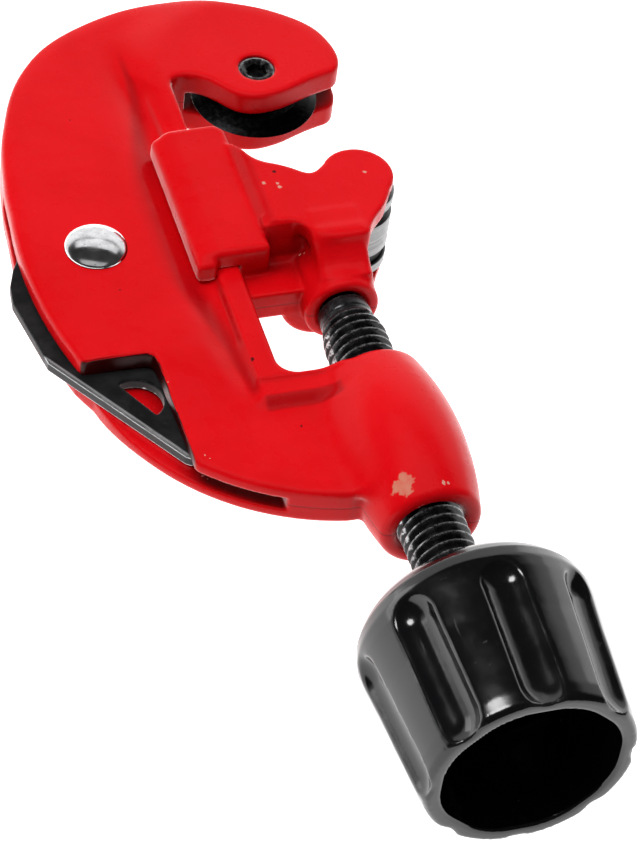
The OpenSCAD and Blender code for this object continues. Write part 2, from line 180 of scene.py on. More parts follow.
# ---------------------------------------------------------------- meshes
def surface_net(field, low, high, cell):
    """Closed quad mesh of field = 0, its vertices then stepped onto the surface."""
    low, high = np.array(low, float), np.array(high, float)
    count = np.ceil((high - low) / cell).astype(int) + 1
    gx, gy, gz = (low[i] + cell * np.arange(count[i]) for i in range(3))
    values = field(gx[:, None, None], gy[None, :, None], gz[None, None, :])
    values = np.array(np.broadcast_to(values, count), float)
    inside = values < 0
    corners = [(i, j, k) for i in (0, 1) for j in (0, 1) for k in (0, 1)]
    filled = np.zeros(tuple(count - 1), np.int8)
    for i, j, k in corners:
        filled += inside[i:count[0] - 1 + i, j:count[1] - 1 + j, k:count[2] - 1 + k]
    cells = np.argwhere((filled > 0) & (filled < 8))
    index = np.full(tuple(count - 1), -1, np.int64)
    index[tuple(cells.T)] = np.arange(len(cells))

    # one vertex per crossed cell, at the mean of its edge crossings
    total, hits = np.zeros((len(cells), 3)), np.zeros(len(cells))
    for corner in corners:
        for axis in range(3):
            if corner[axis]:
                continue
            other = list(corner)
            other[axis] = 1
            here = values[tuple((cells + corner).T)]
            there = values[tuple((cells + other).T)]
            crossed = (here < 0) != (there < 0)
            point = np.tile(np.array(corner, float), (len(cells), 1))
            point[:, axis] += np.where(crossed, here / np.where(crossed, here - there, 1), 0)
            total[crossed] += point[crossed]
            hits[crossed] += 1
    verts = low + cell * (cells + total / hits[:, None])

    # one quad round every crossed grid edge
    faces = []
    unit = np.eye(3, dtype=int)
    for axis in range(3):
        u, w = (axis + 1) % 3, (axis + 2) % 3
        first, second = [slice(None)] * 3, [slice(None)] * 3
        first[axis], second[axis] = slice(0, -1), slice(1, None)
        start, end = inside[tuple(first)], inside[tuple(second)]
        e = np.argwhere(start != end)
        e = e[(e[:, u] > 0) & (e[:, w] > 0) & (e[:, u] < count[u] - 1) & (e[:, w] < count[w] - 1)]
        ring = (e - unit[u] - unit[w], e - unit[w], e, e - unit[u])
        quads = np.stack([index[tuple(r.T)] for r in ring], 1)
        flip = ~start[tuple(e.T)]
        quads[flip] = quads[flip][:, ::-1]
        faces.append(quads)

    # two Newton steps along the gradient, each at most 0.35 of a cell
    d = cell * 0.25
    for _ in range(2):
        x, y, z = verts.T
        value = field(x, y, z)
        slope = np.stack([field(x + d, y, z) - field(x - d, y, z),
                          field(x, y + d, z) - field(x, y - d, z),
                          field(x, y, z + d) - field(x, y, z - d)], 1) / (2 * d)
        square = np.maximum((slope * slope).sum(1), 0.15)
        step = -(value / square)[:, None] * slope
        size = np.maximum(np.sqrt((step ** 2).sum(1)), 1e-9)
        step *= np.minimum(1, 0.35 * cell / size)[:, None]
        verts = verts + step
    return verts, np.vstack(faces)


def shade_smooth(mesh):
    mesh.polygons.foreach_set("use_smooth", np.full(len(mesh.polygons), True))
    mesh.update()


def mesh_object(name, verts, faces):
    """Linked object; verts in mm, faces an array of quads or a mixed list."""
    mesh = bpy.data.meshes.new(name)
    verts = np.asarray(verts, float) * MM
    if isinstance(faces, np.ndarray):
        mesh.vertices.add(len(verts))
        mesh.vertices.foreach_set("co", verts.astype(np.float32).ravel())
        mesh.loops.add(faces.size)
        mesh.loops.foreach_set("vertex_index", faces.astype(np.int32).ravel())
        mesh.polygons.add(len(faces))
        starts = np.arange(0, faces.size, 4, dtype=np.int32)
        mesh.polygons.foreach_set("loop_start", starts)
        mesh.update(calc_edges=True)
    else:
        mesh.from_pydata(verts.tolist(), [], faces)
    mesh.validate()
    shade_smooth(mesh)
    o = bpy.data.objects.new(name, mesh)
    bpy.context.scene.collection.objects.link(o)
    return o


def relax(o, factor):
    """One smoothing pass and one slightly stronger pass back, which keeps the volume."""
    mesh = o.data
    verts = np.zeros(len(mesh.vertices) * 3)
    mesh.vertices.foreach_get("co", verts)
    verts = verts.reshape(-1, 3)
    edges = np.zeros(len(mesh.edges) * 2, int)
    mesh.edges.foreach_get("vertices", edges)
    a, b = edges.reshape(-1, 2).T
    degree = np.bincount(edges, minlength=len(verts)).astype(float)[:, None]
    for push in (factor, -factor * 1.04):
        total = np.zeros_like(verts)
        for axis in range(3):
            total[:, axis] = (np.bincount(a, verts[b, axis], len(verts))
                              + np.bincount(b, verts[a, axis], len(verts)))
        verts = verts + push * (total / np.maximum(degree, 1) - verts)
    mesh.vertices.foreach_set("co", verts.ravel())
    mesh.update()


def net_object(name, field, low, high, cell, smoothing=0.45):
    o = mesh_object(name, *surface_net(field, low, high, cell))
    relax(o, smoothing)
    return o


@contextmanager
def editing(o):
    bm = bmesh.new()
    bm.from_mesh(o.data)
    yield bm
    bm.to_mesh(o.data)
    bm.free()


def weld(bm, distance):
    bmesh.ops.remove_doubles(bm, verts=bm.verts, dist=distance)
    bmesh.ops.dissolve_degenerate(bm, edges=bm.edges, dist=1e-7)


def tidy(o, sharp=None):
    """Weld, turn the normals outwards and mark edges over `sharp` degrees."""
    with editing(o) as bm:
        weld(bm, 1e-7)
        bmesh.ops.recalc_face_normals(bm, faces=bm.faces)
    shade_smooth(o.data)
    if sharp is not None:
        mark_sharp(o, sharp)
    return o


def mark_sharp(o, degrees):
    limit = math.radians(degrees)
    with editing(o) as bm:
        for e in bm.edges:
            if len(e.link_faces) == 2 and e.calc_face_angle(0) > limit:
                e.smooth = False


def lathe(name, profile, centre, segments, sharp=None):
    """Closed profile of (radius, z) turned about Z; points at radius 0 close on the axis."""
    verts, rings, faces = [], [], []
    for radius, z in np.array(profile, float):
        if radius < 1e-6:
            rings.append([len(verts)])
            verts.append((0, 0, z))
            continue
        rings.append(list(range(len(verts), len(verts) + segments)))
        for k in range(segments):
            a = 2 * math.pi * k / segments
            verts.append((radius * math.cos(a), radius * math.sin(a), z))
    for i, low in enumerate(rings):
        high = rings[(i + 1) % len(rings)]
        if len(low) == 1 and len(high) == 1:
            continue
        for k in range(segments):
            after = (k + 1) % segments
            if len(low) == 1:
                faces.append((low[0], high[after], high[k]))
            elif len(high) == 1:
                faces.append((low[k], low[after], high[0]))
            else:
                faces.append((low[k], low[after], high[after], high[k]))
    return tidy(mesh_object(name, np.array(verts) + np.array(centre), faces), sharp)


# ---------------------------------------------------------------- C frame
# (x, y): back of the spine, from the boss up to the nose
BACK = arc((-4.65, -32.7), 35.87, -99, -168.5, 24) + arc((27, -14.9), 71.8, 197.2, 173, 14)
# (x, y): on round the top of the nose, before smoothing
NOSE_TOP = [
    (-43.9, -1), (-42.9, 5.5), (-41.9, 10.1), (-40.5, 14.2), (-39, 18.4), (-37.1, 22.3),
    (-34.9, 25.4), (-32.4, 28.3), (-29.3, 30.8), (-25.7, 32.8), (-21.5, 34.6), (-17.1, 36),
    (-12.2, 36.7), (-7.3, 36.2), (-3.3, 35.1), (0.5, 33.4), (4.2, 31.8), (7.4, 29.7),
    (10.1, 27.4), (12.1, 24.9)]
# (x, y): tip of the nose and back along its underside to the rail
NOSE_UNDER = [
    (13, 22), (13.4, 19.4), (13.3, 16.8), (12.2, 14.6), (9.8, 14), (7.6, 13.3), (5.4, 12.4),
    (3.2, 11.5), (1, 11), (-0.8, 10.8), (-2.5, 11), (-4.3, 11.7), (-5.8, 13.2), (-7.2, 15),
    (-8.4, 16.2), (-9.7, 17.1), (-11.4, 17.7), (-12.8, 17.6), (-13.7, 17.0), (RAIL_X, 15.9)]
FILLET_X, FILLET_Y = RAIL_X + ARM_FILLET, ARM_Y + ARM_FILLET
FRAME = polygon([
    *BACK, *chaikin(NOSE_TOP + NOSE_UNDER, closed=False), (RAIL_X, FILLET_Y),
    *arc((FILLET_X, FILLET_Y), ARM_FILLET, 185, 265, 8), (FILLET_X, ARM_Y), (-5, ARM_Y),
    (-5, -67.7)])
# the outer edge alone, closed far off to +X
RIM = polygon([*BACK, *chaikin(NOSE_TOP + [(13.6, 21.5), (17, 17)], closed=False),
               (60, 0), (60, -90), (-9.99, -90)])
NOTCH = polygon(chaikin([
    (-60, -37.4), (-42.5, -37.4), (-36.0, -37.45), (-31.4, -37.6), (-30.6, -38.6), (-30.4, -44),
    (-30.1, -52), (-29.9, -59.4), (-30, -66), (-60, -66)]))
REAMER_SLOT = polygon([
    (-38.2, -0.4), (-52, 2.2), (-60, -16), (-60, -80), (-18.6, -80), (-18.6, -14), (-20, -8),
    (-24, -3.6), (-30, -1.0), (-34, -0.4)])

# half thicknesses
VALLEY_H, NOSE_H, RAIL_H, RIB_H = 3.15, 5.8, 4.67, 4.25
WHEEL_SLOT_R, WHEEL_SLOT_HALF = 11, 1.8
WHEEL_HOLE_R, WHEEL_RECESS_R, WHEEL_RECESS_Z = 2.22, 2.82, 3.6
REAMER_SLOT_HALF = 1.15
BOSS_R, BOSS_WIDEST_Y = 9.26, -59.5


def frame_height(x, y):
    """Half thickness of the C over its plane."""
    spine = 3.2 + 1.3 * fade(-53, -37, y)
    # valley beside the rail, fading out in the nose
    centre = -19.6 + 0.9 * fade(-30, -50, y)
    valley = (np.exp(-((x - centre) / 2.7) ** 2) * (1 - fade(12, 29, y))
              * (0.35 + 0.65 * fade(-52, -43, y)))
    h = spine - valley * (spine - VALLEY_H)
    # nose: raised plateau round the wheel axis
    nose = 1 - fade(15.5, 24, length(x - 1.0, y - WHEEL_Y))
    nose = nose * np.clip(fade(-21.5, -15.5, x) + fade(14.5, 24, y), 0, 1)
    h = h + (NOSE_H - h) * nose
    # rail and, towards -Y, the rib along the arm
    rail = (fade(RAIL_BACK - 0.75, RAIL_BACK + 0.15, x) * (1 - fade(14, 24, y))
            * fade(-47.2, -45.4, y))
    h = np.maximum(h, h + (RAIL_H - h) * rail)
    rib = fade(-50.7, -48.6, y) * (1 - fade(-40, -36, y)) * fade(-19.4, -17.0, x)
    h = np.maximum(h, h + (RIB_H - h) * rib)
    # small pit where the rib meets the boss
    h = h - 0.5 * np.exp(-((x + 6.9) / 0.9) ** 2 - ((y + 49.0) / 1.9) ** 2)
    # the outer edge falls away over the last 2.8 mm
    d = np.clip(-RIM(x, y) / 2.8, 0, 1)
    drop = 1 - np.sqrt(np.maximum(1 - (1 - d) ** 2, 0))
    amount = 0.35 + 0.35 * fade(-45, -25, y) * (1 - nose) + 0.35 * nose
    return h - amount * drop


def frame_field(x, y, z):
    height = frame_height(x, y)
    d = prism(FRAME(x, y), (np.abs(z) - height) * 0.92, 0.65)
    # barrel-shaped boss round the screw
    screw_r = length(x, z)
    taper = np.where(y < BOSS_WIDEST_Y, 0.0098, 0.0112)
    boss_r = BOSS_R - taper * (y - BOSS_WIDEST_Y) ** 2
    ends = slab(y, (ARM_Y + BOSS_END) / 2, (ARM_Y - BOSS_END) / 2)
    boss = prism((screw_r - boss_r) * 0.98, ends, 1.0)
    d = join(d, boss, 0.8 + 2.2 * fade(1.2, 3.0, z))
    # wheel slot, open to -Y and to +X
    wheel_r = length(x, y - WHEEL_Y)
    slot = np.minimum(wheel_r - WHEEL_SLOT_R, prism(slab(x, 4, 15), slab(y, 9.4, 9.35), 0))
    d = cut(d, prism(slot, np.abs(z) - WHEEL_SLOT_HALF, 0.3), 0.5)
    # wheel screw: recess and hole
    d = cut(d, prism(wheel_r - WHEEL_RECESS_R, WHEEL_RECESS_Z - z, 0.1), 0.35)
    d = cut(d, wheel_r - WHEEL_HOLE_R, 0.25)
    # reamer slot, the notch in its +Z wall, and the pivot hole
    d = cut(d, prism(REAMER_SLOT(x, y), np.abs(z) - REAMER_SLOT_HALF, 0.25), 0.45)
    d = cut(d, prism(NOTCH(x, y), 1.1 - z, 0.0), 0.4)
    d = cut(d, length(x - PIVOT_X, y - PIVOT_Y) - PIVOT_HOLE_R, 0.1)
    # feed screw bore, flared over the last 0.9 mm
    below = y - BORE_TOP
    d = cut(d, np.maximum(screw_r - (SCREW_R + 0.09), below), 0.1)
    flare = 0.8 * np.clip((BOSS_END + 0.9 - y) / 0.9, 0, 1) ** 1.5
    return cut(d, np.maximum(screw_r - (SCREW_R + 0.1 + flare), below), 0.15)


# ---------------------------------------------------------------- carriage
# (x, y): plate on either side of the rollers
EAR = polygon([
    (-10.6, -19.7), (-10.6, -0.6),
    *chaikin([(-9.9, -1.0), (-9.5, -1.5), (-8.9, -3.2), (-7.9, -5.5), (-6.4, -7.0),
              (-4.2, -8.0), (-2.3, -9.2), (-1.05, -10.3), (-0.05, -10.75), (0.9, -10.5),
              (1.8, -9.8), (2.6, -9.1)], closed=False),
    *arc((ROLLER_X, ROLLER_Y), 5.4, 138, -34, 22),
    *chaikin([(10.9, -16.0), (10.3, -17.1), (9.4, -18.6), (8.4, -19.9), (7.0, -21.3),
              (5.9, -22.8), (5.0, -24.6), (3.4, -24.7), (-0.6, -24.7), (-2.2, -24.0),
              (-3.2, -22.7), (-4.2, -20.9), (-5.6, -20.1)], closed=False)])
# (x, y): channel that wraps the rail
CHANNEL = polygon(bevelled(
    [(-20.7, -23.4), (-20.7, 1.9), (-19.3, 3.8), (-10.7, 3.95), (-9.4, 2.6), (-9.4, -23.4)],
    [1.2, 1.5, 1.6, 1.2, 1.2, 0.9], steps=5))
# (y, |z|): shoulder between the ears and the swivel boss
SHOULDER = polygon(chaikin(
    [(-22.5, 9.2), (-24.0, 9.2), (-25.0, 8.3), (-26.2, 6.9), (-27.6, 5.9), (-29.6, 5.4),
     (-29.6, 0), (-22.5, 0)], rounds=1))
# (y, |z|): wall on the -Y side of the rollers, leaning from the ears to the foot
WALL = polygon([(-18.0, 0), (-18.0, 9.0), (-20.2, 9.0), (-20.5, 6.0), (-21.0, 3.2),
                (-22.0, 2.2), (-22.0, 0)])
EAR_INNER_Z, EAR_OUTER_Z = 6.3, 9.5
CHANNEL_HALF = 7.8
ROLLER_ROOM_R, ROLLER_ROOM_HALF = 6.1, 7.4


def carriage_field(x, y, z):
    az = np.abs(z)
    screw_r = length(x, z)
    # ears; their outer faces come down to the channel beside them
    top = EAR_OUTER_Z - 1.8 * (1 - fade(-10.8, -8.4, x))
    thick = np.abs(az - (EAR_INNER_Z + top) / 2) - (top - EAR_INNER_Z) / 2
    d = prism(EAR(x, y), thick, 0.45)
    d = join(d, prism(WALL(y, az), slab(x, -2.4, 7.4), 0.4), 0.45)
    shoulder = box(x, y, z, low=(-3.1, -24.3, -9.1), high=(4.9, -18.4, 9.1), radius=0.9)
    shoulder = join(shoulder, prism(SHOULDER(y, az), slab(x, 0.9, 4.0), 1.3), 1.2)
    d = join(d, shoulder, 0.9)
    # swivel boss, wider on its -Z half
    d = join(d, prism(screw_r - 5.65, slab(y, -26.1, 4.8), 0.9), 0.9)
    wide = prism(length(x + 1.5, z + 0.5) - 6.95, slab(y, -24.8, 3.1), 0.9)
    d = join(d, meet(wide, z + 0.6, 1.4), 0.5)
    # foot bearing on the rail
    foot = box(x, y, z, low=(-13.55, -27.8, -2.42), high=(-4.9, -19.0, 2.42), radius=0.35)
    d = join(d, foot, 0.35)
    # channel: web and arms with the -X edge rounded over, hollowed, then lips
    channel = prism(CHANNEL(x, y), az - CHANNEL_HALF, 0.95)
    channel = meet(channel, (az - CHANNEL_HALF) * 0.62 - (x + 19.0) * 0.78, 1.6)
    hollow = box(x, y, z, low=(-40, -60, -4.75), high=(-13.93, 40, 4.75), radius=0.2)
    channel = cut(channel, hollow, 0.3)
    lip = box(x, y, az, low=(-20.7, -24.7, 3.4), high=(-17.65, 3.2, 6.9), radius=0.9)
    channel = join(channel, lip, 0.9)
    corner = np.maximum(np.maximum(y + 22.3, z + 2.6), -13.9 - x)
    d = join(d, cut(channel, corner, 0.3), 0.5)
    # room for the rollers, and for the screw's tip between them
    room = box(x, y, z, low=(-9.0, -18.3, -ROLLER_ROOM_HALF), high=(40, 30, ROLLER_ROOM_HALF),
               radius=0.3)
    d = cut(d, room, 0.3)
    roller_r = [length(x - s * ROLLER_X, y - ROLLER_Y) for s in (-1, 1)]
    for r in roller_r:
        d = cut(d, prism(r - ROLLER_ROOM_R, az - ROLLER_ROOM_HALF, 0.2), 0.2)
    d = cut(d, prism(screw_r - 3.95, slab(y, -18.8, 3.8), 0.2), 0.2)
    # ellipsoidal pocket between the foot and the boss
    px, py, pz = (x + 4.5) / 1.1, (y + 23.6) / 3.0, (z - 6.4) / 2.6
    d = cut(d, (np.sqrt(px * px + py * py + pz * pz) - 1) * 1.1, 0.5)
    # journal bore, flared over its last 0.8 mm
    d = cut(d, np.maximum(screw_r - 3.27, y + 19), 0.1)
    lead = screw_r - (3.3 + 1.0 * np.clip((-30.9 + 0.8 - y) / 0.8, 0, 1))
    d = cut(d, np.maximum(lead, y + 25), 0.15)
    # roller pin holes, blind in the +Z ear
    for r in roller_r:
        d = cut(d, prism(r - 1.93, z - 8.7, 0.05), 0.1)
    return d


# ---------------------------------------------------------------- reamer blade
# (x, y)
BLADE = polygon([
    (-40.6, -7.6), (-42.6, -9.2), (-44.2, -11.6), (-45.7, -14.3), (-46.8, -17.3),
    (-47.2, -20.7), (-45.0, -33.5), (-30.4, -54.8), (-29.6, -55.4), (-28.7, -55.0), (-28.0, -50),
    (-27.2, -40), (-26.6, -28), (-26.2, -19)])
BLADE_HALF = 0.85
BLADE_LOBE_R = 8.6      # round end about the pivot
HOLE_FLAT_ANGLE = math.radians(-60.0)


def blade_field(x, y, z):
    """Flat blade with a finger hole that is round on one side and straight on the other."""
    c, s = math.cos(HOLE_FLAT_ANGLE), math.sin(HOLE_FLAT_ANGLE)
    pivot_r = length(x - PIVOT_X, y - PIVOT_Y)
    outline = np.minimum(BLADE(x, y), pivot_r - BLADE_LOBE_R)
    flat = -(x + 36.1) * s + (y + 39.7) * c
    hole = prism(length(x + 34.4, y + 43.0) - 3.9, -flat, 0.4)
    d = prism(cut(outline, hole, 0.15), np.abs(z) - BLADE_HALF, 0.22)
    return cut(d, pivot_r - PIVOT_HOLE_R, 0.05)


# ---------------------------------------------------------------- knob
# (radius, y): outside and, before smoothing, inside of the cup; closed across the axis
KNOB_OUTER = polygon([
    (-30, KNOB_TOP), (4.9, KNOB_TOP), (5.9, -86.0), (6.9, -86.25), (7.9, -86.5), (8.9, -86.8),
    (9.95, -87.15), (10.95, -87.5), (11.95, -87.95), (12.95, -88.5), (13.95, -89.1),
    (14.95, -89.9), (15.8, -90.8), (16.6, -92.1), (16.95, -93.8), (16.85, -95.6), (16.55, -98.5),
    (16.2, -102), (15.9, -106), (15.55, -110.5), (15.2, -114.5), (14.9, -116.4),
    (14.4, KNOB_RIM), (-30, KNOB_RIM)])
KNOB_INNER = polygon(chaikin([
    (-30, -96.6), (3.9, -96.6), (4.0, -98.5), (4.4, -99), (6.4, -99), (7.0, -98.5), (7.2, -91.8),
    (7.6, -91.4), (10, -91.6), (11.3, -92.8), (12, -95.5), (12.2, -106), (12.45, -116.6),
    (12.9, -118), (12.9, -130), (-30, -130)]))
FLUTES, FLUTE_R, FLUTE_TOP = 8, 4.0, -98.0


def knob_field(x, y, z):
    r = length(x, z)
    d = KNOB_OUTER(r, y)
    # angle from the nearest flute's centre line
    step = 2 * math.pi / FLUTES
    angle = ((np.arctan2(x, z) / step + 0.5) % 1.0 - 0.5) * step
    across, out = r * np.sin(angle), r * np.cos(angle)
    # round groove with a domed +Y end; it leans with the taper, shallower at the rim
    beyond = y - FLUTE_TOP
    near_rim = np.clip(-(y + 113.6), 0, 4.0)
    centre = 18.9 + 0.0875 * np.minimum(beyond, 0) + 0.075 * near_rim ** 2
    dome = np.maximum(beyond, 0)
    flute = np.sqrt((out - centre) ** 2 + across ** 2 + dome ** 2) - FLUTE_R
    d = cut(d, flute, 0.4)
    # the cup's wall bulges inwards behind the flutes, near the rim
    bulge = 0.22 * np.exp(-(across / 2.3) ** 2) * fade(-104, -112, y)
    d = cut(d, KNOB_INNER(r + bulge, y), 0.45)
    d = meet(d, y - KNOB_TOP, 0.8)
    return cut(d, prism(r - (SCREW_R + 0.02), slab(y, -90.0, 6.6), 0), 0.1)


# ---------------------------------------------------------------- feed screw
SCREW_TOP, SCREW_BOTTOM = -30.95, -96.2
SCREW_COLUMNS, STEPS_PER_PITCH = 80, 14
THREAD_DEPTH = 0.62 * PITCH
COLLAR_R = 3.95
# (radius, y) from each end of the thread to the axis
BOTTOM_CAP = [(3.4, SCREW_BOTTOM - 0.02), (0, SCREW_BOTTOM - 0.02)]
JOURNAL = [(3.22, -30.93), (3.2, -30.7), (3.2, -22.55), (2.55, -22.5), (2.55, -21.62),
           (3.2, -21.58), (3.2, -20.9), (2.8, -20.4), (0, -20.4)]


def thread_radius(y, turn):
    """Radius at height y, `turn` being the part of a pitch past the crest."""
    t = min(turn, 1 - turn) * 2
    t = min(max((t - 0.14) / 0.76, 0), 1)
    t = t * t * (3 - 2 * t) * 0.35 + t * 0.65
    r = SCREW_R - THREAD_DEPTH * t
    # the thread runs out to a plain neck, then a collar with a chamfer
    neck = float(fade(-35.2, -33.4, y))
    r = r * (1 - neck) + (SCREW_R - THREAD_DEPTH * 0.92) * neck
    r -= 0.42 * float(fade(-37.6, -34.6, y)) * (1 - neck)
    collar = float(fade(-33.2, -32.9, y))
    r = r * (1 - collar) + COLLAR_R * collar
    r -= 0.35 * float(fade(-31.3, SCREW_TOP, y))
    return r - 0.8 * (1 - float(fade(SCREW_BOTTOM, SCREW_BOTTOM + 1.2, y)))


def close_end(bm, end_y, stations):
    """Carry the open ring at end_y through the stations and close it on the axis."""
    ring = [v for v in bm.verts if abs(v.co.y - end_y * MM) < 2e-6]
    ring.sort(key=lambda v: math.atan2(v.co.x, v.co.z))
    count = len(ring)
    for r, y in stations:
        if r == 0:
            centre = bm.verts.new((0, y * MM, 0))
            for k in range(count):
                bm.faces.new((ring[k], ring[(k + 1) % count], centre))
            return
        grown = []
        for v in ring:
            a = math.atan2(v.co.x, v.co.z)
            grown.append(bm.verts.new((r * MM * math.sin(a), y * MM, r * MM * math.cos(a))))
        for k in range(count):
            after = (k + 1) % count
            bm.faces.new((ring[k], ring[after], grown[after], grown[k]))
        ring = grown


def feed_screw():
    """Right-hand thread whose columns step along the helix, so the crests stay crisp."""
    steps = STEPS_PER_PITCH
    rows = int(math.ceil((SCREW_TOP - SCREW_BOTTOM) / PITCH)) * steps + 2 * steps
    verts = []
    for i in range(SCREW_COLUMNS):
        angle = 2 * math.pi * i / SCREW_COLUMNS
        lead = PITCH * i / SCREW_COLUMNS
        for j in range(rows + 1):
            y = SCREW_BOTTOM - PITCH + j * PITCH / steps + lead
            y = min(max(y, SCREW_BOTTOM), SCREW_TOP)
            r = thread_radius(y, (j / steps) % 1.0)
            verts.append((r * math.sin(angle), y, r * math.cos(angle)))

    def vert(i, j):
        return i * (rows + 1) + min(max(j, 0), rows)

    faces = []
    for i in range(SCREW_COLUMNS):
        # the last column joins the first one a pitch further along
        last = i == SCREW_COLUMNS - 1
        beside, shift = (0, steps) if last else (i + 1, 0)
        for j in range(-shift, rows):
            quad = (vert(i, j), vert(beside, j + shift), vert(beside, j + 1 + shift),
                    vert(i, j + 1))
            if len(set(quad)) >= 3:
                faces.append(tuple(dict.fromkeys(quad)))
    o = mesh_object("feed_screw_threads", verts, faces)
    with editing(o) as bm:
        weld(bm, 1e-6)
        close_end(bm, SCREW_BOTTOM, BOTTOM_CAP)
        close_end(bm, SCREW_TOP, JOURNAL)
        bmesh.ops.recalc_face_normals(bm, faces=bm.faces)
    shade_smooth(o.data)
    mark_sharp(o, 38)
    return o


# ---------------------------------------------------------------- turned parts, (radius, z)
# cutter wheel: hub, ground flanks and V edge
WHEEL = bevelled(
    [(2.25, -1.72), (4.3, -1.72), (4.5, -1.32), (6.9, -1.15), (9.75, -0.02),
     (9.75, 0.02), (6.9, 1.15), (4.5, 1.32), (4.3, 1.72), (2.25, 1.72)],
    [0.15, 0.2, 0.2, 0.35, 0.01, 0.01, 0.35, 0.2, 0.2, 0.15], steps=3)
ROLLER = bevelled(
    [(1.95, -7.35), (5.1, -7.35), (5.8, -6.8), (5.8, -5.2), (5.2, -4.9), (5.2, -3.3),
     (5.8, -3.0), (5.8, 3.0), (5.2, 3.3), (5.2, 4.9), (5.8, 5.2), (5.8, 6.8),
     (5.1, 7.35), (1.95, 7.35)],
    [0.15, 0.25, 0.3, 0.18, 0.2, 0.2, 0.18, 0.18, 0.2, 0.2, 0.18, 0.3, 0.25, 0.15], steps=3)
ROLLER_PIN = bevelled([(0, -9.5), (1.9, -9.5), (1.9, 8.7), (0, 8.7)], [0, 0.28, 0.1, 0])
# one half of the rivet; the other mirrors it
RIVET_DOME = [(0, 6.25), (0.8, 6.22), (1.6, 6.13), (2.4, 5.96), (3.1, 5.73), (3.7, 5.44),
              (4.1, 5.2), (4.38, 5.0), (4.53, 4.82), (4.6, 4.62), (4.6, 4.42), (2.4, 4.40)]


# ---------------------------------------------------------------- retaining ring
CLIP_Y = -22.05
CLIP_SECTION = bevelled([(2.52, -0.4), (3.75, -0.4), (3.75, 0.4), (2.52, 0.4)], 0.12, steps=2)
CLIP_STEPS = 64
CLIP_HALF_GAP = math.radians(17)


def split_ring():
    """Ring round the screw's journal, split on its +Z side."""
    verts, faces = [], []
    sweep = 2 * math.pi - 2 * CLIP_HALF_GAP
    for i in range(CLIP_STEPS + 1):
        a = -math.pi / 2 - math.pi + CLIP_HALF_GAP + sweep * i / CLIP_STEPS
        for r, h in CLIP_SECTION:
            verts.append((r * math.cos(a), CLIP_Y + h, r * math.sin(a)))
    m = len(CLIP_SECTION)
    for i in range(CLIP_STEPS):
        for k in range(m):
            after = (k + 1) % m
            faces.append((i * m + k, i * m + after, (i + 1) * m + after, (i + 1) * m + k))
    faces.append(tuple(range(m)))
    faces.append(tuple(CLIP_STEPS * m + k for k in range(m))[::-1])
    return tidy(mesh_object("split_ring", verts, faces), sharp=40)


# ---------------------------------------------------------------- wheel screw
HEX_ACROSS = 2.9
SOCKET_FLOOR_Z, SHANK_END_Z = 3.75, -5.8
SOCKET_Z = [4.05, 5.05]      # the two rings of the socket's hexagon
# (radius, z) from the socket's mouth over the head and down the shank
HEAD = [(1.85, 5.3), (2.1, 5.44), (2.42, 5.45), (2.68, 5.3), (2.76, 5.05), (2.76, 3.7),
        (2.70, 3.6), (2.2, 3.6), (2.2, -5.5), (1.9, SHANK_END_Z)]


def hexagon_radius(angle):
    side = math.pi / 3
    t = (angle + side / 2) % side - side / 2
    return HEX_ACROSS / 2 / math.cos(t)


def wheel_screw():
    """Round head with a hexagon socket, and a shank through the nose."""
    n = 96
    angles = [2 * math.pi * (i + 0.5) / n for i in range(n)]
    rings = [([hexagon_radius(a) for a in angles], z) for z in SOCKET_Z]
    rings += [([r] * n, z) for r, z in HEAD]
    verts = [(r * math.cos(a), WHEEL_Y + r * math.sin(a), z)
             for radii, z in rings for r, a in zip(radii, angles)]
    faces = []
    for j in range(len(rings) - 1):
        for i in range(n):
            after = (i + 1) % n
            faces.append((j * n + i, j * n + after, (j + 1) * n + after, (j + 1) * n + i))
    centre, last = len(verts), (len(rings) - 1) * n
    verts += [(0, WHEEL_Y, SOCKET_FLOOR_Z), (0, WHEEL_Y, SHANK_END_Z)]
    for i in range(n):
        after = (i + 1) % n
        faces.append((i, after, centre))
        faces.append((last + i, last + after, centre + 1))
    return tidy(mesh_object("wheel_screw_head", verts, faces), sharp=32)


